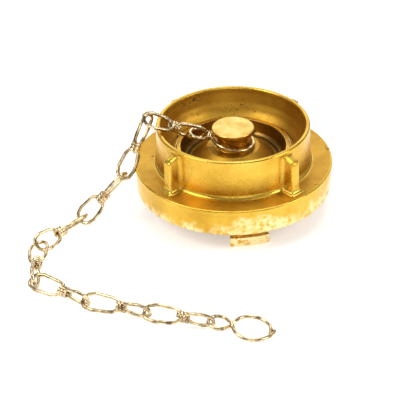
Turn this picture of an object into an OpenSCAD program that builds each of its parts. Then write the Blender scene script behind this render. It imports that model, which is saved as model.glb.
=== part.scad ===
// Blank cap for a two-lug, quarter-turn symmetrical hose coupling, with its chain and hook.
// +Z is up. The origin is on the axis, in the plane of the mating face (the skirt's lower edge).
// The cap stands on its two lugs, and the chain hangs over the collar and lies beside it.

/* [Lug ring] */
// Diameter of the flange
flange_d = 98; // [96:0.5:100]
// Height of the flange's top above the mating face
flange_h = 13.9; // [13.5:0.1:14.5]
// Outside diameter of the collar
collar_d = 75.8; // [75:0.2:77]
// Height of the collar's rim above the mating face
collar_h = 34.4; // [34:0.1:35]
// Thickness of the collar at its rim
rim_w = 2.4; // [2:0.1:3]
// Distance between the inner faces of the two lugs
lug_span = 66; // [66:0.5:67]
// How far the lugs stand out of the mating face
lug_reach = 10.5; // [10:0.1:11]
// Angle that one lug spans
lug_arc = 27; // [24:1:28]
// Width of a wrench rib
rib_w = 6; // [5:0.2:7]

/* [Closing plate] */
// Diameter of the hub that turns in the lug ring
hub_d = 56; // [55.8:0.1:56]
// Radial running clearance between hub and lug ring
hub_clear = 0.1; // [0.05:0.01:0.1]
// Diameter of the knob's head
knob_d = 21; // [20:0.5:22]
// Diameter of the knob's neck
neck_d = 16; // [15:0.5:16]
// Height of the knob's top above the mating face
knob_top = 32.1; // [32:0.1:32.5]
// How far the seal stands out of the mating face
seal_proud = 0.9; // [0.5:0.1:1]

/* [Chain] */
// Thickness of the wire
wire_d = 1.8; // [1.7:0.05:1.8]
// Distance between neighbouring joints of the chain
link_pitch = 30; // [29.5:0.1:30]
// Distance between the wire's centres across the wide end of a link's loop
loop_w = 9.5; // [9.4:0.05:9.5]
// Radius of the hook's large loop, at the wire's centre
hook_r = 8.6; // [8:0.1:9]
// Radius of the hook's small eye, at the wire's centre
eye_r = 4.7; // [4.6:0.1:5]

/* [Hidden] */
$fn = 96;
brass = [0.85, 0.65, 0.25];
steel = [0.80, 0.75, 0.62];

// Lug ring heights and radii
flange_r = flange_d / 2;
skirt_r = flange_r - 0.6;
collar_r = collar_d / 2;
rim_r = collar_r - rim_w;
hub_r = hub_d / 2;
lip_h = 5;
lip_r = 38.5;
groove_top = 10.5;
groove_r = 43;
ledge_z = 19.6;
ledge_r = 30.4;
edge = 0.5;
fillet = 2;
first_lug = -79.5;
first_rib = -137;
rib_r = 44;
// Height of a rib at its front and at the wall
rib_front_h = 30.6;
rib_wall_h = 32;
// Radius and sweep of the collar's curved inner wall
wall_curve = 24;
wall_sweep = 28;
lug_neck_r = 37.5;
lug_nose_r = 42;
lug_nose_h = 5;
gap_arc = lug_arc + 4;
// How far a pocket is cut past the lip and the groove
gap_past = 0.4;

// Closing plate heights and radii
hub_top = 22;
body_r = 31.5;
body_z0 = 0.6;
body_top = groove_top - 0.3;
// Hollow under the dome: its flat top, its slope and its straight wall
cup_top_r = 9;
cup_top = 17;
cup_slope_r = 18;
cup_slope_z = 10.5;
cup_r = 22.5;
cup_wall_z = 9.5;
dish_r = 25.9;
floor_r = 24.3;
floor_z = 14.7;
boss_r = 13.2;
boss_top = 21.7;
dome_curve = 8.5;
head_z = 28.7;
snap_d = 1.6;
snap_z = ledge_z + snap_d / 2 + 0.05;
snap_r = hub_r + 0.5;
snap_gap = 14;
// Half height and depth of the slot that holds the snap ring
snap_slot = 0.9;
snap_bite = 0.4;
seal_r0 = 24.4;
seal_r1 = 30.2;
seal_top = 5.6;

// Swivel ring: a loop round the neck and an eye, in a plane that rises towards the eye
swivel_z = 24.8;
swivel_tilt = 10;
swivel_heading = 175;
neck_loop_r = 10.2;
swivel_eye_r = 4.6;
swivel_cross = 11.6;
swivel_eye_x = 16.9;
swivel_side = 1.2;

// How each link lies, and the hook last: heading, slope above the horizontal, roll of its first loop
LAY = [[195, 26, 65], [226, -53, 80], [193, -45.6, 42], [229, 0, 50], [270.5, 0, 15],
       [327, 0, 22], [341, 0, 22], [345, 0, 22], [352, -7, 0]];
chain_start = [-15.2, 1.4, 27.4];
wire_r = wire_d / 2;
corner_r = wire_r + 0.1;
joint_slack = 0.3;
bend_slack = 0.9;
knot_r = wire_r + 0.15;
knot_len = 5.5;
// Distance from the middle of a link to where each of its loops starts
loop_start = 1.6;
// Part of a loop's leg that the knot hides
hidden_leg = 0.12;
// From the round stretches of the hook's eye and loop to where its wires cross
hook_cross = 1.0;
// Where the hook's large loop ends, as an angle from its far side
hook_end = 140;

function along(i) = [cos(LAY[i][0]) * cos(LAY[i][1]), sin(LAY[i][0]) * cos(LAY[i][1]), sin(LAY[i][1])];
function chain_joint(i) = i == 0 ? chain_start : chain_joint(i - 1) + link_pitch * along(i - 1);
// How far the wire's centre passes a joint: more where the chain bends more
function past_joint(i) = (wire_r + joint_slack)
    * (i == 0 ? 1 : 1 + bend_slack * (1 - along(i - 1) * along(i)));
// Points on an arc from angle a0 to a1
function arc(cx, cy, r, a0, a1, steps) =
    [for (i = [0 : steps]) let (a = a0 + (a1 - a0) * i / steps) [cx + r * cos(a), cy + r * sin(a)]];

// Straight wire from a to b, both in the XY plane
module wire_between(a, b) {
    d = b - a;
    translate([a[0], a[1], 0])
        rotate([0, 90, atan2(d[1], d[0])])
            cylinder(h = norm(d), r = wire_r);
}

// Ball that closes the corner where a straight wire from a meets a bend at b; its seam faces sideways,
// clear of both wires
module corner(a, b) {
    d = b - a;
    translate([b[0], b[1], 0])
        rotate([0, 0, atan2(d[1], d[0]) + 90])
            sphere(r = corner_r);
}

// Wire bent round (cx, 0) in the XY plane, from one angle to another
module round_wire(cx, r, from, to) {
    translate([cx, 0, 0])
        rotate([0, 0, from])
            rotate_extrude(angle = to - from)
                translate([r, 0])
                    circle(r = wire_r, $fn = 32);
}

// Loop from the knot at x = 0 to its round end, whose wire's centre reaches x = len
module wire_loop(len) {
    end_r = loop_w / 2;
    end_x = len - end_r;
    tangent = acos(end_r / end_x);
    round_wire(end_x, end_r, tangent - 180, 180 - tangent);
    for (side = [-1, 1]) {
        touch = [end_x - end_r * cos(tangent), side * end_r * sin(tangent)];
        wire_between(hidden_leg * touch, touch);
        corner([0, 0], touch);
    }
}

// Three turns of wire round the middle of a link
module knot() {
    rotate([0, 90, 0]) {
        translate([0, 0, -knot_len / 2])
            cylinder(h = knot_len, r = knot_r + wire_r + 0.05);
        for (turn = [-1 : 1])
            translate([0, 0, turn * (wire_d + 0.05)])
                rotate_extrude()
                    translate([knot_r + wire_r, 0])
                        circle(r = wire_r, $fn = 32);
    }
}

// Puts a child that runs along +X from the origin onto chain joint i
module laid(i) {
    translate(chain_joint(i))
        rotate([LAY[i][2], -LAY[i][1], LAY[i][0]])
            children();
}

module chain_link(i) {
    knot_x = link_pitch / 2;
    color(steel)
        laid(i) {
            translate([knot_x, 0, 0])
                knot();
            translate([knot_x - loop_start, 0, 0])
                rotate([0, 0, 180])
                    wire_loop(knot_x - loop_start + past_joint(i));
            translate([knot_x + loop_start, 0, 0])
                rotate([90, 0, 0])
                    wire_loop(knot_x - loop_start + past_joint(i + 1));
        }
}

module swivel_ring() {
    tangent = acos(swivel_eye_r / (swivel_eye_x - swivel_cross));
    color(steel)
        translate([0, 0, swivel_z])
            rotate([0, -swivel_tilt, swivel_heading]) {
                round_wire(0, neck_loop_r, 0, 360);
                round_wire(swivel_eye_x, swivel_eye_r, tangent - 180, 180 - tangent);
                for (side = [-1, 1]) {
                    touch = [swivel_eye_x - swivel_eye_r * cos(tangent), side * swivel_eye_r * sin(tangent)];
                    wire_between([neck_loop_r, -side * swivel_side], touch);
                    corner([neck_loop_r, -side * swivel_side], touch);
                }
            }
}

module end_hook() {
    eye_x = eye_r - past_joint(8);
    cross = eye_x + eye_r + hook_cross;
    loop_x = cross + hook_cross + hook_r;
    eye_touch = acos(eye_r / (cross - eye_x));
    loop_touch = acos(hook_r / (loop_x - cross));
    color(steel)
        laid(8) {
            round_wire(eye_x, eye_r, eye_touch, 360 - eye_touch);
            round_wire(loop_x, hook_r, loop_touch - 180, hook_end);
            for (side = [-1, 1]) {
                a = [eye_x + eye_r * cos(eye_touch), -side * eye_r * sin(eye_touch)];
                b = [loop_x - hook_r * cos(loop_touch), side * hook_r * sin(loop_touch)];
                wire_between(a, b);
                corner(b, a);
                corner(a, b);
            }
        }
}

module locking_ring() {
    profile = concat(
        [[lip_r, 0], [skirt_r, 0], [skirt_r, flange_h - 3], [flange_r, flange_h - 2.5],
         [flange_r, flange_h - edge], [flange_r - edge, flange_h]],
        arc(collar_r + fillet, flange_h + fillet, fillet, 270, 180, 4),
        [[collar_r, collar_h - edge], [collar_r - edge, collar_h], [rim_r + edge, collar_h]],
        arc(rim_r - wall_curve, collar_h - 0.6, wall_curve, 0, -wall_sweep, 6),
        [[ledge_r, ledge_z], [hub_r + hub_clear, ledge_z], [hub_r + hub_clear, groove_top],
         [groove_r, groove_top], [groove_r, lip_h], [lip_r, lip_h]]);
    rib = [[collar_r - 1, flange_h - 1], [rib_r, flange_h - 1], [rib_r, rib_front_h - edge],
           [rib_r - edge, rib_front_h], [collar_r - 1, rib_wall_h]];
    lug = [[lug_span / 2, groove_top + 1], [lug_neck_r, groove_top + 1],
           [lug_neck_r, lug_nose_h - lug_reach + edge], [lug_nose_r, lug_nose_h - lug_reach],
           [lug_nose_r, edge - lug_reach], [lug_nose_r - edge, -lug_reach],
           [lug_span / 2 + edge, -lug_reach], [lug_span / 2, edge - lug_reach]];
    color(brass) {
        difference() {
            rotate_extrude()
                polygon(profile);
            for (turn = [90, 270])
                rotate([0, 0, first_lug + turn - gap_arc / 2])
                    rotate_extrude(angle = gap_arc)
                        translate([lip_r - 2, -1])
                            square([groove_r + gap_past - lip_r + 2, lip_h + 1.5]);
        }
        for (turn = [0 : 90 : 270])
            rotate([90, 0, first_rib + turn])
                translate([0, 0, -rib_w / 2])
                    linear_extrude(rib_w)
                        polygon(rib);
        for (turn = [0, 180])
            rotate([0, 0, first_lug + turn - lug_arc / 2])
                rotate_extrude(angle = lug_arc)
                    polygon(lug);
    }
}

module cap_plate() {
    knob_r = knob_d / 2;
    neck_r = neck_d / 2;
    profile = concat(
        [[0, cup_top], [cup_top_r, cup_top], [cup_slope_r, cup_slope_z], [cup_r, cup_wall_z],
         [cup_r, body_z0], [seal_r0, body_z0],
         [seal_r0, seal_top], [seal_r1, seal_top], [seal_r1, body_z0], [body_r, body_z0],
         [body_r, body_top], [hub_r, body_top],
         [hub_r, snap_z - snap_slot], [hub_r - snap_bite, snap_z - snap_slot],
         [hub_r - snap_bite, snap_z + snap_slot], [hub_r, snap_z + snap_slot],
         [hub_r, hub_top - 0.3], [hub_r - 0.3, hub_top], [dish_r + 0.3, hub_top], [dish_r, hub_top - 0.3],
         [dish_r - 0.6, floor_z + 1], [floor_r, floor_z]],
        arc(floor_r - 1, floor_z + dome_curve, dome_curve, 280, 225, 4),
        arc(boss_r - 1, boss_top - 1, 1, 30, 90, 3),
        [[neck_r + 0.5, boss_top], [neck_r, boss_top + 0.5], [neck_r, head_z - 0.5], [neck_r + 0.5, head_z],
         [knob_r - edge, head_z], [knob_r, head_z + edge], [knob_r, knob_top - edge],
         [knob_r - edge, knob_top], [0, knob_top]]);
    color(brass)
        rotate_extrude()
            polygon(profile);
}

module snap_ring() {
    color(steel)
        translate([0, 0, snap_z])
            rotate([0, 0, 115 + snap_gap / 2])
                rotate_extrude(angle = 360 - snap_gap)
                    translate([snap_r, 0])
                        circle(d = snap_d, $fn = 32);
}

module seal_ring() {
    color([0.12, 0.12, 0.12])
        rotate_extrude()
            polygon([[seal_r0, seal_top], [seal_r0, edge - seal_proud], [seal_r0 + edge, -seal_proud],
                     [seal_r1 - edge, -seal_proud], [seal_r1, edge - seal_proud], [seal_r1, seal_top]]);
}

locking_ring();
cap_plate();
snap_ring();
seal_ring();
swivel_ring();
chain_link(0);  // chain_link_1
chain_link(1);  // chain_link_2
chain_link(2);  // chain_link_3
chain_link(3);  // chain_link_4
chain_link(4);  // chain_link_5
chain_link(5);  // chain_link_6
chain_link(6);  // chain_link_7
chain_link(7);  // chain_link_8
end_hook();
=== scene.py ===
import math

import bmesh
import bpy
from mathutils import Euler, Matrix, Vector


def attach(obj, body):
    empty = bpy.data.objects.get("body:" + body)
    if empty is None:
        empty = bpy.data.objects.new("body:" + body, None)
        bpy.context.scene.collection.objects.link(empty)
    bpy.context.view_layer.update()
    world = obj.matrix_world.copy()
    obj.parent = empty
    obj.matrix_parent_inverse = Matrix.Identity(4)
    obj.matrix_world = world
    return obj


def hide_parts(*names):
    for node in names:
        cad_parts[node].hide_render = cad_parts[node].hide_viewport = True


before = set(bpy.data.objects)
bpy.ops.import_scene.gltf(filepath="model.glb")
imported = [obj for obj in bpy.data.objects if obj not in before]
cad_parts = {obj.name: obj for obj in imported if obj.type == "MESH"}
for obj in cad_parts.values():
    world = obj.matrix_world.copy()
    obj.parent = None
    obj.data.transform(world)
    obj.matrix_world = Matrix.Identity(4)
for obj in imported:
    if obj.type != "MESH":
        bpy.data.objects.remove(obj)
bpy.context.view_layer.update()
MM = 0.001
TAU = 2 * math.pi


# ---------------------------------------------------------------- materials

def new_material(name):
    mat = bpy.data.materials.new(name)
    mat.use_nodes = True
    nodes = mat.node_tree.nodes
    shader = nodes["Principled BSDF"]
    return mat, nodes, mat.node_tree.links, shader


def noise_node(nodes, links, coord, scale, detail, rough):
    n = nodes.new("ShaderNodeTexNoise")
    n.inputs["Scale"].default_value = scale
    n.inputs["Detail"].default_value = detail
    n.inputs["Roughness"].default_value = rough
    links.new(coord, n.inputs["Vector"])
    return n.outputs["Fac"]


def ramp(nodes, links, fac, stops):
    r = nodes.new("ShaderNodeValToRGB")
    links.new(fac, r.inputs["Fac"])
    els = r.color_ramp.elements
    while len(els) < len(stops):
        els.new(0.5)
    for el, (pos, col) in zip(els, stops):
        el.position = pos
        el.color = (*col, 1)
    return r.outputs["Color"]


def grey(v):
    return (v, v, v)


def math_node(nodes, links, op, a, b=0.0):
    m = nodes.new("ShaderNodeMath")
    m.operation = op
    for i, v in enumerate((a, b)):
        if isinstance(v, (int, float)):
            m.inputs[i].default_value = v
        else:
            links.new(v, m.inputs[i])
    return m.outputs["Value"]


def mix_color(nodes, links, fac, a, b):
    m = nodes.new("ShaderNodeMix")
    m.data_type = "RGBA"
    links.new(fac, m.inputs["Factor"])
    for key, v in (("A", a), ("B", b)):
        sock = [s for s in m.inputs if s.name == key and s.type == "RGBA"][0]
        if isinstance(v, tuple):
            sock.default_value = (*v, 1)
        else:
            links.new(v, sock)
    return [s for s in m.outputs if s.type == "RGBA"][0]


def bump_node(nodes, links, shader, height, strength, distance):
    b = nodes.new("ShaderNodeBump")
    b.inputs["Strength"].default_value = strength
    b.inputs["Distance"].default_value = distance
    links.new(height, b.inputs["Height"])
    links.new(b.outputs["Normal"], shader.inputs["Normal"])


TURNING_STEP = 0.0006    # metres from one turning mark to the next
STAIN = 0.30             # brightness of a pit's floor against the brass round it
PIT_DEPTH = 0.8          # depth of a pit against the grain
PALE_RISE = -28.0         # how many fewer pale patches there are for each metre of height: wear on the skirt, painted highlight on the lugs


def brass(name, light, mid, dark, rough, grain, pits, turning, bump, wear_and_highlight=0.0, clouds=45):
    """Brass with tarnish clouds, fine grain, small dark pits and turning marks that circle the Z axis.
    The pale-patch level adds pale patches that grow towards the lower edge: rubbed wear on the skirt, and
    painted highlight on the lugs."""
    mat, nodes, links, shader = new_material(name)
    coord = nodes.new("ShaderNodeTexCoord").outputs["Object"]
    sep = nodes.new("ShaderNodeSeparateXYZ")
    links.new(coord, sep.inputs["Vector"])
    cloud = noise_node(nodes, links, coord, scale=clouds, detail=5, rough=0.6)
    base = ramp(nodes, links, cloud, [(0.30, dark), (0.50, mid), (0.72, light)])
    speck = noise_node(nodes, links, coord, scale=420, detail=3, rough=0.7)
    patch = noise_node(nodes, links, coord, scale=70, detail=2, rough=0.5)
    spots = math_node(nodes, links, "MULTIPLY", speck, patch)
    pit = ramp(nodes, links, spots, [(pits, grey(0)), (pits + 0.05, grey(1))])
    stained = mix_color(nodes, links, pit, base, tuple(c * STAIN for c in mid))
    if wear_and_highlight:
        # Pale patches: rubbed wear on the skirt, painted highlight on the lugs.
        pale_noise = noise_node(nodes, links, coord, scale=60, detail=7, rough=0.62)
        low = math_node(nodes, links, "MULTIPLY", sep.outputs["Z"], PALE_RISE)
        level = math_node(nodes, links, "ADD", pale_noise, low)
        mask = ramp(nodes, links, level,
                    [(wear_and_highlight, grey(0)), (wear_and_highlight + 0.10, grey(0.65)), (wear_and_highlight + 0.32, grey(1))])
        fleck = noise_node(nodes, links, coord, scale=330, detail=4, rough=0.7)
        flecks = ramp(nodes, links, fleck, [(0.40, grey(0.0)), (0.50, grey(1))])
        mask = math_node(nodes, links, "MULTIPLY", mask, flecks)
        stained = mix_color(nodes, links, mask, stained, WORN_AND_HIGHLIGHT)
    links.new(stained, shader.inputs["Base Color"])
    shader.inputs["Metallic"].default_value = 1.0
    scuff = noise_node(nodes, links, coord, scale=160, detail=6, rough=0.65)
    low, high = grey(rough - 0.09), grey(rough + 0.13)
    links.new(ramp(nodes, links, scuff, [(0.3, low), (0.75, high)]), shader.inputs["Roughness"])
    x2 = math_node(nodes, links, "MULTIPLY", sep.outputs["X"], sep.outputs["X"])
    y2 = math_node(nodes, links, "MULTIPLY", sep.outputs["Y"], sep.outputs["Y"])
    radius = math_node(nodes, links, "SQRT", math_node(nodes, links, "ADD", x2, y2))
    path = math_node(nodes, links, "ADD", radius, sep.outputs["Z"])
    wave = math_node(nodes, links, "SINE", math_node(nodes, links, "MULTIPLY", path, TAU / TURNING_STEP))
    ring_mix = math_node(nodes, links, "MULTIPLY", wave, turning)
    fine = noise_node(nodes, links, coord, scale=900, detail=4, rough=0.6)
    coarse = noise_node(nodes, links, coord, scale=230, detail=5, rough=0.6)
    body = math_node(nodes, links, "ADD", math_node(nodes, links, "MULTIPLY", fine, grain * 0.5),
                     math_node(nodes, links, "MULTIPLY", coarse, grain))
    height = math_node(nodes, links, "ADD", body, ring_mix)
    height = math_node(nodes, links, "SUBTRACT", height, math_node(nodes, links, "MULTIPLY", pit, PIT_DEPTH))
    bump_node(nodes, links, shader, height, bump, 0.0003)
    return mat


def wire_material(name, light, dark, rough):
    """Bright drawn wire: faint yellow tint, darker streaks and small nicks. Set very dark, as on the chain
    wire, the streaks are painted shade for the dark reflections along the wire's edges.
    """
    mat, nodes, links, shader = new_material(name)
    coord = nodes.new("ShaderNodeTexCoord").outputs["Object"]
    cloud = noise_node(nodes, links, coord, scale=260, detail=4, rough=0.6)
    base = ramp(nodes, links, cloud, [(0.32, dark), (0.62, light)])
    links.new(base, shader.inputs["Base Color"])
    shader.inputs["Metallic"].default_value = 1.0
    scuff = noise_node(nodes, links, coord, scale=900, detail=4, rough=0.6)
    links.new(ramp(nodes, links, scuff, [(0.3, grey(rough - 0.06)), (0.8, grey(rough + 0.14))]),
              shader.inputs["Roughness"])
    nicks = noise_node(nodes, links, coord, scale=1500, detail=3, rough=0.5)
    bump_node(nodes, links, shader, nicks, 0.25, 0.0001)
    return mat


def rubber_material(name):
    """Matt black rubber with a fine, uneven skin."""
    mat, nodes, links, shader = new_material(name)
    coord = nodes.new("ShaderNodeTexCoord").outputs["Object"]
    cloud = noise_node(nodes, links, coord, scale=120, detail=5, rough=0.6)
    links.new(ramp(nodes, links, cloud, [(0.3, (0.012, 0.012, 0.013)), (0.7, (0.035, 0.034, 0.033))]),
              shader.inputs["Base Color"])
    links.new(ramp(nodes, links, cloud, [(0.3, grey(0.55)), (0.7, grey(0.8))]), shader.inputs["Roughness"])
    skin = noise_node(nodes, links, coord, scale=1200, detail=4, rough=0.6)
    bump_node(nodes, links, shader, skin, 0.3, 0.0002)
    return mat


GOLD = (0.84, 0.54, 0.090)
AMBER = (0.70, 0.42, 0.050)
TARNISH = (0.55, 0.30, 0.030)
# Colour of the pale patches: rubbed wear on the skirt, painted highlight on the lugs.
WORN_AND_HIGHLIGHT = (0.98, 0.80, 0.42)
turned = brass("brass_turned", GOLD, AMBER, TARNISH,
               rough=0.26, grain=0.25, pits=0.44, turning=0.10, bump=0.35)
cast = brass("brass_cast", (0.68, 0.40, 0.050), (0.58, 0.32, 0.034), (0.44, 0.23, 0.020),
             rough=0.44, grain=1.2, pits=0.40, turning=0.0, bump=0.8, clouds=60)
# Rougher brass whose darker colours are painted shade inside the collar and on the dome.
bowl_painted_shade = brass("brass_bowl_painted_shade", (0.64, 0.37, 0.048), (0.53, 0.29, 0.032), (0.40, 0.20, 0.022),
             rough=0.48, grain=0.7, pits=0.36, turning=0.03, bump=0.5)
# Much darker copy of the brass: painted shade in the dish round the dome.
recess_painted_shade = brass("brass_recess_painted_shade", (0.40, 0.24, 0.05), (0.24, 0.13, 0.03), (0.14, 0.075, 0.018),
               rough=0.34, grain=0.6, pits=0.36, turning=0.05, bump=0.4)
# Brass with pale patches: rubbed wear on the skirt, painted highlight on the lugs.
pale = brass("brass_worn_and_highlight", GOLD, AMBER, TARNISH,
             rough=0.32, grain=1.2, pits=0.50, turning=0.0, bump=0.9, wear_and_highlight=0.32)
# Lighter, mottled brass for the knob's top: the mottling is the top's own, the extra brightness is painted
# light on the top.
knob_top_painted_light = brass("brass_knob_top_painted_light", (1.0, 0.76, 0.30), (0.86, 0.58, 0.16), (0.64, 0.38, 0.07),
             rough=0.42, grain=1.4, pits=0.50, turning=0.0, bump=0.9, clouds=150)
# The chain wire's dark colour is set very low: painted shade for the dark reflections along its edges.
wire = wire_material("wire_bright_painted_shade", (0.88, 0.70, 0.42), (0.20, 0.13, 0.05), rough=0.12)
spring = wire_material("wire_spring", (0.88, 0.70, 0.36), (0.62, 0.45, 0.19), rough=0.22)
rubber = rubber_material("rubber_black")


# ---------------------------------------------------------------- mesh helpers

WELD = 0.002             # points closer than this become one
FILLET_STEPS = 5
BEND_STEPS = 5
WIRE_SIDES = 14
END_ROUND = 0.35         # how far a wire's rounded end stands out


def add_mesh(name, verts, faces, mats, body, pick=None):
    """A smooth piece that rides on a body. pick(r, z) gives the material's index for a face's middle."""
    mesh = bpy.data.meshes.new(name)
    mesh.from_pydata([[c * MM for c in v] for v in verts], [], faces)
    mesh.validate()
    bm = bmesh.new()
    bm.from_mesh(mesh)
    bmesh.ops.remove_doubles(bm, verts=bm.verts, dist=WELD * MM)
    bmesh.ops.recalc_face_normals(bm, faces=bm.faces)
    bm.to_mesh(mesh)
    bm.free()
    for m in mats:
        mesh.materials.append(m)
    for p in mesh.polygons:
        p.use_smooth = True
        if pick:
            c = p.center / MM
            p.material_index = pick(math.hypot(c.x, c.y), c.z)
    obj = bpy.data.objects.new(name, mesh)
    bpy.context.scene.collection.objects.link(obj)
    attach(obj, body)
    return obj


def support(length):
    """How far from a fillet its support point lies, on a stretch of this length."""
    return min(0.25, length * 0.02 + 0.02)


def rounded(points, closed=False):
    """Corner points (r, z, fillet) to a profile with true fillets and support points beside them."""
    out = []
    n = len(points)
    for i, (x, y, f) in enumerate(points):
        if (not closed and i in (0, n - 1)) or f <= 0:
            out.append((x, y))
            continue
        p = Vector((x, y))
        a = Vector(points[i - 1][:2]) - p
        b = Vector(points[(i + 1) % n][:2]) - p
        la, lb = a.length, b.length
        a.normalize()
        b.normalize()
        half = a.angle(b) / 2
        cut = min(f / math.tan(half), la * 0.48, lb * 0.48)
        r = cut * math.tan(half)
        centre = p + (a + b).normalized() * (r / math.sin(half))
        start, end = p + a * cut, p + b * cut
        out.append(tuple(start + a * support(la)))
        v0, v1 = start - centre, end - centre
        turn = v0.angle_signed(v1)
        for k in range(FILLET_STEPS + 1):
            t = -turn * k / FILLET_STEPS
            out.append((centre.x + v0.x * math.cos(t) - v0.y * math.sin(t),
                        centre.y + v0.x * math.sin(t) + v0.y * math.cos(t)))
        out.append(tuple(end + b * support(lb)))
    return out


def revolve(name, profile, mats, body, pick=None, segments=288, closed=True, reshape=None,
            start=0.0, sweep=360.0):
    """Turns an (r, z) profile round Z. reshape(r, z, angle) may move a point."""
    full = abs(sweep - 360) < 1e-6
    cols = segments if full else segments + 1
    verts, faces = [], []
    n = len(profile)
    for i in range(cols):
        ang = start + sweep * i / segments
        c, s = math.cos(math.radians(ang)), math.sin(math.radians(ang))
        for (r, z) in profile:
            if reshape:
                r, z = reshape(r, z, ang % 360)
            verts.append((r * c, r * s, z))
    rows = n if closed else n - 1
    for i in range(segments):
        j = (i + 1) % cols
        for k in range(rows):
            m = (k + 1) % n
            faces.append((i * n + k, j * n + k, j * n + m, i * n + m))
    if not full:
        faces.append(tuple(range(n)))
        faces.append(tuple(segments * n + k for k in range(n - 1, -1, -1)))
    return add_mesh(name, verts, faces, mats, body, pick)


def spline(points, per):
    """Smooth open Catmull-Rom curve through the points."""
    pts = [Vector(p) for p in points]
    n = len(pts)
    out = []
    for i in range(n - 1):
        p1, p2 = pts[i], pts[i + 1]
        p0 = pts[i - 1] if i > 0 else p1 * 2 - p2
        p3 = pts[i + 2] if i + 2 < n else p2 * 2 - p1
        for k in range(per):
            t = k / per
            out.append(0.5 * ((2 * p1) + (p2 - p0) * t + (2 * p0 - 5 * p1 + 4 * p2 - p3) * t * t
                              + (3 * p1 - p0 - 3 * p2 + p3) * t ** 3))
    out.append(pts[-1])
    return out


def arc(centre_x, radius, start, sweep, steps, z=0.0):
    """Points of an arc about (centre_x, 0), angles in degrees."""
    angles = [math.radians(start + sweep * k / steps) for k in range(steps + 1)]
    return [Vector((centre_x + radius * math.cos(a), radius * math.sin(a), z)) for a in angles]


def bent(points, radius):
    """Straight stretches joined by round bends of the given radius."""
    pts = [Vector(p) for p in points]
    out = [pts[0]]
    for i in range(1, len(pts) - 1):
        p, a, b = pts[i], pts[i - 1] - pts[i], pts[i + 1] - pts[i]
        la, lb = a.length, b.length
        a.normalize()
        b.normalize()
        half = a.angle(b) / 2
        cut = min(radius / math.tan(half), la * 0.45, lb * 0.45)
        s, e = p + a * cut, p + b * cut
        for k in range(BEND_STEPS + 1):
            t = k / BEND_STEPS
            out.append(s * (1 - t) ** 2 + p * 2 * t * (1 - t) + e * t ** 2)
    out.append(pts[-1])
    return out


def tube_data(path, radius):
    """Sweeps round wire along an open path and rounds its ends over."""
    last = len(path) - 1
    tangents = [(path[min(i + 1, last)] - path[max(i - 1, 0)]).normalized() for i in range(last + 1)]
    up = Vector((0, 0, 1))
    if abs(tangents[0].dot(up)) > 0.9:
        up = Vector((1, 0, 0))
    normal = (up - tangents[0] * up.dot(tangents[0])).normalized()
    stations = []
    for point, tangent in zip(path, tangents):
        normal = (normal - tangent * normal.dot(tangent)).normalized()
        stations.append((point, tangent, normal.copy(), radius))
    point, tangent, normal, _ = stations[0]
    head = [(point - tangent * END_ROUND * out, tangent, normal, radius * width)
            for out, width in ((1.0, 0.45), (0.7, 0.85))]
    point, tangent, normal, _ = stations[-1]
    tail = [(point + tangent * END_ROUND * out, tangent, normal, radius * width)
            for out, width in ((0.7, 0.85), (1.0, 0.45))]
    stations = head + stations + tail
    verts, faces = [], []
    for point, tangent, normal, r in stations:
        across = tangent.cross(normal)
        for k in range(WIRE_SIDES):
            a = TAU * k / WIRE_SIDES
            verts.append(tuple(point + (normal * math.cos(a) + across * math.sin(a)) * r))
    for i in range(len(stations) - 1):
        here, there = i * WIRE_SIDES, (i + 1) * WIRE_SIDES
        for k in range(WIRE_SIDES):
            q = (k + 1) % WIRE_SIDES
            faces.append((here + k, here + q, there + q, there + k))
    faces.append(tuple(range(WIRE_SIDES - 1, -1, -1)))
    faces.append(tuple((len(stations) - 1) * WIRE_SIDES + k for k in range(WIRE_SIDES)))
    return verts, faces


def wires(name, paths, radius, mat, body, place=None):
    """One object of several wires, one along each path."""
    verts, faces = [], []
    for path in paths:
        v, f = tube_data(path, radius)
        base = len(verts)
        verts += v
        faces += [tuple(base + i for i in face) for face in f]
    if place is not None:
        verts = [tuple(place @ Vector(v)) for v in verts]
    return add_mesh(name, verts, faces, [mat], body)


# ---------------------------------------------------------------- lug ring

POCKET_HEADINGS = (10.5, 190.5)
POCKET_HALF = 15.5       # half of a pocket's width, degrees
POCKET_R = 43.4          # wall behind a pocket
POCKET_TOP = 4.9


def open_pockets(r, z, angle):
    """Moves the lower lip back to the wall where a pocket interrupts it."""
    in_pocket = any(abs((angle - heading + 180) % 360 - 180) < POCKET_HALF for heading in POCKET_HEADINGS)
    if in_pocket and z < POCKET_TOP and r < POCKET_R:
        return POCKET_R, z
    return r, z


ring_profile = rounded([
    (38.5, 0, 0.5), (48.4, 0, 1.2), (48.4, 11.0, 0.3), (49.0, 11.4, 0.4), (49.0, 13.9, 0.8),
    (37.9, 13.9, 2.2), (37.9, 34.4, 0.9), (35.6, 34.4, 0.9), (35.4, 31.5, 6.0), (34.4, 26.6, 8.0),
    (32.6, 22.4, 8.0), (30.4, 20.1, 0.4), (30.4, 19.6, 0.2), (28.1, 19.6, 0.4), (28.1, 10.5, 0.2),
    (43.0, 10.5, 0.6), (43.0, 5.0, 0.2), (38.5, 5.0, 0.3)], closed=True)


def ring_pick(r, z):
    """Cast on the flange's top, darker brass with painted shade inside the collar, pale-patch brass for wear
    on the skirt, turned elsewhere.
    """
    if 39.5 < r < 48.3 and 13.2 < z < 15:
        return 1
    if r < 35.6 and z > 19.5:
        return 2
    if r > 46 and z < 11.2:
        return 3
    return 0


ring = revolve("lug_ring_body", ring_profile, [turned, cast, bowl_painted_shade, pale], "lug_ring", ring_pick,
               segments=720, reshape=open_pockets)
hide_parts("locking_ring")


def bevelled(obj, width):
    mod = obj.modifiers.new("bevel", "BEVEL")
    mod.width = width * MM
    mod.segments = 4
    mod.limit_method = "ANGLE"
    mod.angle_limit = math.radians(28)
    mod.harden_normals = True


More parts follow.
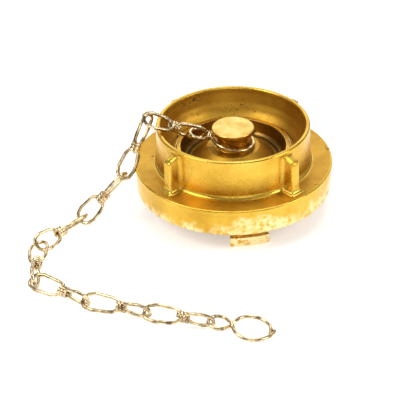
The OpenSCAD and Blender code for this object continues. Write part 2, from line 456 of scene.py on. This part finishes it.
COLLAR_R = 37.75         # a rib's sides meet the collar just inside its wall
RIB_ROOT = 37.2          # and its outline ends inside the wall
RIB_HALF = 2.7
RIB_FRONT = 44.0
RIB_DEPTH = 6.3
RIB_RISE = 2.0           # how much higher a rib is at the wall than at its front
RIB_SLOPE_FROM = 28.5    # height above which the outline takes the slope of the top
CORNER_STEPS = 6
# Height, and how far the outline stands out there at the sides and at the front
RIB_STATIONS = [
    (13.2, 1.9, 1.9), (13.95, 1.75, 1.75), (14.2, 1.15, 1.15), (14.6, 0.65, 0.65), (15.2, 0.28, 0.28),
    (16.0, 0.05, 0.05), (17.5, 0.0, 0.0), (24.0, -0.12, -0.1), (28.7, -0.2, -0.15),
    (29.4, -0.3, -0.25), (29.85, -0.6, -0.6), (30.1, -1.05, -1.1)]


def rib_section(half, front):
    """Half width and front radius to a closed (y, r) outline: concave at the wall, round at the front."""
    wall, nose = 1.7, 1.2
    pts = [(half + wall + 0.8, RIB_ROOT), (half + wall, COLLAR_R)]
    for k in range(1, CORNER_STEPS + 1):
        t = math.radians(90 * k / CORNER_STEPS)
        pts.append((half + wall * (1 - math.sin(t)), COLLAR_R + wall * (1 - math.cos(t))))
    for k in range(CORNER_STEPS + 1):
        t = math.radians(90 * k / CORNER_STEPS)
        pts.append((half - nose * (1 - math.cos(t)), front - nose * (1 - math.sin(t))))
    return pts + [(-y, r) for y, r in reversed(pts)]


def rib(name, heading):
    """Wrench rib, lofted through its stations and closed at the top."""
    c, s = math.cos(math.radians(heading)), math.sin(math.radians(heading))
    outlines = [rib_section(RIB_HALF + wide, RIB_FRONT + out) for _, wide, out in RIB_STATIONS]
    n = len(outlines[0])
    verts, faces = [], []
    for (z, _, _), outline in zip(RIB_STATIONS, outlines):
        for y, r in outline:
            top = RIB_RISE * (RIB_FRONT - r) / RIB_DEPTH if z > RIB_SLOPE_FROM else 0.0
            verts.append((r * c - y * s, r * s + y * c, z + top))
    for a in range(len(RIB_STATIONS) - 1):
        for k in range(n):
            m = (k + 1) % n
            faces.append((a * n + k, a * n + m, (a + 1) * n + m, (a + 1) * n + k))
    last = (len(RIB_STATIONS) - 1) * n
    faces += [(last + k, last + k + 1, last + n - 2 - k, last + n - 1 - k) for k in range(n // 2 - 1)]
    return add_mesh(name, verts, faces, [turned], "lug_ring")


for i, heading in enumerate((-137, -47, 43, 133)):
    rib("rib_%d" % (i + 1), heading)

LUG_WIDTH = 27           # degrees
LUG_BEVEL = 0.45
lug_profile = [(33.0, 11.3), (37.5, 11.3), (37.5, -5.3), (42.0, -5.5), (42.0, -10.5), (33.0, -10.5)]
# The lugs take the pale-patch brass, whose pale patches paint a highlight on them.
for i, heading in enumerate((-79.5, 100.5)):
    lug = revolve("lug_%d" % (i + 1), lug_profile, [pale], "lug_ring", segments=20,
                  start=heading - LUG_WIDTH / 2, sweep=LUG_WIDTH)
    bevelled(lug, LUG_BEVEL)


# ---------------------------------------------------------------- closing plate

plate_profile = rounded([
    (0.001, 17.0, 0), (9.0, 17.0, 0.5), (18.0, 10.5, 1.5), (22.5, 9.5, 0.6), (22.5, 0.6, 0.4),
    (24.4, 0.6, 0.2), (24.4, 5.6, 0.1), (30.2, 5.6, 0.1), (30.2, 0.6, 0.2), (31.5, 0.6, 0.4),
    (31.5, 10.2, 0.4), (28.0, 10.2, 0.1), (28.0, 19.9, 0.1), (27.6, 19.9, 0.1), (27.6, 21.4, 0.1),
    (28.0, 21.4, 0.1), (28.0, 22.0, 0.5), (25.9, 22.0, 0.5), (25.2, 16.2, 1.5), (24.0, 14.7, 1.4),
    (20.6, 15.1, 3.5), (17.3, 17.7, 6.0), (14.2, 20.6, 3.0), (12.9, 21.7, 1.0), (8.5, 21.9, 0.6),
    (8.0, 23.0, 1.0), (8.0, 28.7, 0.6), (9.3, 28.7, 0.3), (10.5, 29.9, 0.9), (10.5, 31.6, 0.5),
    (10.1, 32.05, 0.3), (9.0, 31.95, 1.0), (0.001, 32.1, 0)])


def plate_pick(r, z):
    """Lighter brass with painted light on the handle's top, darker brass with painted shade on the dome,
    much darker brass with painted shade in the dish round it, turned elsewhere.
    """
    if z > 31.6 and r < 10.3:
        return 1
    if 14 < z < 22.3 and 9 < r < 26.2:
        return 3 if r > 22.2 else 2
    return 0


plate = revolve("closing_plate", plate_profile, [turned, knob_top_painted_light, bowl_painted_shade, recess_painted_shade], "plate", plate_pick,
                closed=False)
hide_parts("cap_plate")

seal_profile = rounded([
    (24.45, 5.55, 0.3), (24.45, -0.9, 0.6), (26.3, -0.9, 0.3), (26.7, -0.4, 0.3), (27.9, -0.4, 0.3),
    (28.3, -0.9, 0.3), (30.15, -0.9, 0.6), (30.15, 5.55, 0.3)], closed=True)
seal = revolve("seal_rubber_ring", seal_profile, [rubber], "plate")
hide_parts("seal_ring")

SNAP_R, SNAP_Z = 28.5, 20.45
SNAP_WIRE = 0.8
SNAP_START, SNAP_SWEEP = 122, 346
snap_path = arc(0, SNAP_R, SNAP_START, SNAP_SWEEP, 180, SNAP_Z)
snap = wires("snap_ring_wire", [snap_path], SNAP_WIRE, spring, "plate")
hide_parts("snap_ring")


# ---------------------------------------------------------------- chain

WIRE = 0.9               # radius of the chain's wire
PITCH = 30.0
CHAIN_START = Vector((-15.2, 1.4, 27.4))
# How each link and the hook lie: heading, slope and roll, degrees
LAY = [(195, 26, 65), (226, -53, 80), (193, -45.6, 42), (229, 0, 50), (270.5, 0, 15),
       (327, 0, 22), (341, 0, 22), (345, 0, 22), (352, -7, 0)]


def along(i):
    """Direction of link i."""
    h, s = math.radians(LAY[i][0]), math.radians(LAY[i][1])
    return Vector((math.cos(h) * math.cos(s), math.sin(h) * math.cos(s), math.sin(s)))


joints = [CHAIN_START]
for i in range(8):
    joints.append(joints[-1] + along(i) * PITCH)


REACH = 1.2              # how far a loop's end lies past its joint on a straight run
REACH_BEND = 0.9         # and how much that grows with the bend


def past(i):
    """How far the loops that meet at joint i reach past it."""
    return REACH if i == 0 else REACH * (1 + REACH_BEND * (1 - along(i - 1).dot(along(i))))


def laid(i):
    """Puts link i where it lies."""
    heading, slope, roll = (math.radians(v) for v in LAY[i])
    return Matrix.Translation(joints[i]) @ Euler((roll, -slope, heading), "XYZ").to_matrix().to_4x4()


LOOP_HALF = 4.52
LOOP_START = 1.6         # where a loop leaves its knot's middle
LOOP_BEND = 1.3
KNOT_R, KNOT_WAVE = 1.86, 0.08
KNOT_TURNS = 2.9
KNOT_LENGTH = 4.7
LINK_SEEDS = (0.0, 1.0, -1.0, 0.5, -0.6, 0.8, -0.4, 0.2)
KNOT_OFFSETS = (0.6, 0.0, 0.4, 0.8, 1.0, 2.4, 2.4, 2.2)


def loop_outline(length, seed):
    """Bent wire loop: wide bend by the knot, straight legs and a broad end, with unequal sides."""
    w = LOOP_HALF
    top = [(-2.2, 0.95), (-0.7, 1.15), (1.2, 3.2 + 0.15 * seed), (3.4, 3.9), (length - 4.8, w),
           (length - 1.4, w - 1.1), (length, 1.6)]
    bottom = [(-2.2, 0.95), (-0.7, 1.15), (1.5, 3.35 - 0.15 * seed), (3.9, 4.0), (length - 5.4, w),
              (length - 1.3, w - 1.1), (length, 1.6)]
    return top + [(x, -y) for x, y in reversed(bottom)]


def knot_wraps(seed):
    """Wire wound round the waist."""
    out = []
    steps = int(KNOT_TURNS * 22)
    for k in range(steps + 1):
        t = k / steps
        a = TAU * KNOT_TURNS * t + seed
        r = KNOT_R + KNOT_WAVE * math.sin(5 * a + seed)
        x = KNOT_LENGTH / 2 - KNOT_LENGTH * t + 0.12 * math.sin(2 * a + seed)
        out.append(Vector((x, r * math.cos(a), r * math.sin(a))))
    return out


for i, (seed, offset) in enumerate(zip(LINK_SEEDS, KNOT_OFFSETS)):
    mid = PITCH / 2 + offset
    before, after = mid - LOOP_START, mid + LOOP_START
    first = [Vector((before - x, y, 0)) for x, y in loop_outline(before + past(i), seed)]
    second = [Vector((after + x, 0, y))
              for x, y in loop_outline(PITCH - mid - LOOP_START + past(i + 1), -seed)]
    wraps = [v + Vector((mid, 0, 0)) for v in knot_wraps(2.1 * i + 0.7)]
    link = wires("chain_link_wire_%d" % (i + 1), [bent(first, LOOP_BEND), bent(second, LOOP_BEND), wraps],
                 WIRE, wire, "link_%d" % (i + 1), laid(i))
    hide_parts("chain_link_%d" % (i + 1))

# Swivel ring: loop round the neck, crossing wound with wire, and the eye that holds link 1
SWIVEL_Z, SWIVEL_TILT, SWIVEL_HEADING = 24.8, 10, 175
SWIVEL_EYE_R, SWIVEL_EYE_X = 4.6, 16.9
SWIVEL_EYE_BACK = 5.3    # from the eye's middle back to where its wires meet
SWIVEL_LOOP_R, SWIVEL_OPENING = 10.2, 16
WIND_TURNS, WIND_LENGTH = 1.9, 1.9
WIND_STEPS = 44
swivel_turn = Euler((0, -math.radians(SWIVEL_TILT), math.radians(SWIVEL_HEADING)), "XYZ")
swivel_place = Matrix.Translation(Vector((0, 0, SWIVEL_Z))) @ swivel_turn.to_matrix().to_4x4()
touch = math.degrees(math.acos(SWIVEL_EYE_R / SWIVEL_EYE_BACK))
eye_run = [Vector((10.9, -0.6, 0.35)),
           *arc(SWIVEL_EYE_X, SWIVEL_EYE_R, 180 - touch, 2 * touch - 360, 40),
           Vector((10.9, 0.6, -0.35))]
neck_run = [Vector((12.3, 0.5, -0.3)),
            *arc(0, SWIVEL_LOOP_R, SWIVEL_OPENING, 360 - 2 * SWIVEL_OPENING, 72),
            Vector((12.3, -0.5, 0.3))]
wind = []
for k in range(WIND_STEPS + 1):
    a = TAU * WIND_TURNS * k / WIND_STEPS
    wind.append(Vector((11.0 + WIND_LENGTH * k / WIND_STEPS, 1.75 * math.cos(a), 1.55 * math.sin(a))))
swivel = wires("swivel_wire", [spline(eye_run, 3), spline(neck_run, 3), wind], WIRE, wire,
               "swivel", swivel_place)
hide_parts("swivel_ring")

# Hook: small eye, crossing, and a large loop whose free end lies outside its start
EYE_R, HOOK_R = 4.7, 8.6
HALF_CROSS = 1.0
CROSS_LIFT = 0.92        # the wires pass each other this far above and below the middle
END_FLARE, FLARE_STEPS = 1.6, 22
eye_x = EYE_R - past(8)
cross = eye_x + EYE_R + HALF_CROSS
big_x = cross + HALF_CROSS + HOOK_R
big = []
for k in range(64):
    a = math.radians(5 - 169 * k / 63)
    r = HOOK_R + END_FLARE * max(0.0, 1 - k / FLARE_STEPS) ** 1.5
    big.append(Vector((big_x + r * math.cos(a), r * math.sin(a), 0)))
eye = arc(eye_x, EYE_R, 52, 256, 39)
upper = arc(big_x, HOOK_R, 164, -178, 49)
run = big + [Vector((cross, 0, CROSS_LIFT))] + eye + [Vector((cross, 0, -CROSS_LIFT))] + upper
hook = wires("end_hook_wire", [spline(run, 2)], WIRE, wire, "hook", laid(8))
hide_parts("end_hook")


# ---------------------------------------------------------------- floor, light, camera

FLOOR_Z = -0.0106        # just under the lugs
FLOOR_HALF = 3

mat, nodes, links, shader = new_material("floor_white")
coord = nodes.new("ShaderNodeTexCoord").outputs["Object"]
tone = noise_node(nodes, links, coord, scale=3, detail=2, rough=0.5)
links.new(ramp(nodes, links, tone, [(0.3, grey(0.90)), (0.7, grey(0.93))]), shader.inputs["Base Color"])
shader.inputs["Roughness"].default_value = 0.9
shader.inputs["Emission Color"].default_value = (1, 1, 1, 1)
shader.inputs["Emission Strength"].default_value = 0.40
floor_mesh = bpy.data.meshes.new("floor")
floor_corners = [(x * FLOOR_HALF, y * FLOOR_HALF, FLOOR_Z) for x, y in ((-1, -1), (1, -1), (1, 1), (-1, 1))]
floor_mesh.from_pydata(floor_corners, [], [(0, 1, 2, 3)])
floor_mesh.materials.append(mat)
floor = bpy.data.objects.new("floor", floor_mesh)
bpy.context.scene.collection.objects.link(floor)

world = bpy.data.worlds.new("studio")
bpy.context.scene.world = world
world.use_nodes = True
background = world.node_tree.nodes["Background"]
background.inputs["Color"].default_value = (0.95, 0.97, 1.0, 1)
background.inputs["Strength"].default_value = 0.40


def area(name, where, target, size, power):
    """Rectangular lamp at where, facing target."""
    lamp = bpy.data.lights.new(name, "AREA")
    lamp.shape = "RECTANGLE"
    lamp.size, lamp.size_y = size
    lamp.energy = power
    obj = bpy.data.objects.new(name, lamp)
    obj.location = where
    obj.rotation_euler = (Vector(target) - Vector(where)).to_track_quat("-Z", "Y").to_euler()
    bpy.context.scene.collection.objects.link(obj)


area("key_left", (-0.75, -0.35, 0.85), (0, 0, 0.01), (0.6, 0.6), 5.5)
area("fill_right", (0.85, -0.25, 0.55), (0, 0, 0.01), (0.35, 0.5), 3.0)
area("top", (0.05, 0.25, 1.1), (0, 0, 0), (0.7, 0.4), 4)
area("front", (0.1, -1.1, 0.35), (0, 0, 0.0), (0.8, 0.25), 1.5)
area("back", (0.0, 1.25, 0.80), (0, 0, 0.02), (1.8, 0.8), 6)

camera_data = bpy.data.cameras.new("camera")
camera_data.sensor_width = 36
camera_data.lens = 161.963
camera_data.clip_start = 0.01
camera = bpy.data.objects.new("camera", camera_data)
camera.location = (0, -0.76288, 0.47749)
camera.rotation_euler = (math.radians(57.4084), math.radians(1.2593), math.radians(0.4782))
bpy.context.scene.collection.objects.link(camera)
bpy.context.scene.camera = camera
view = bpy.context.scene.view_settings
view.view_transform = "Standard"
view.look = "None"
view.exposure = 0.0
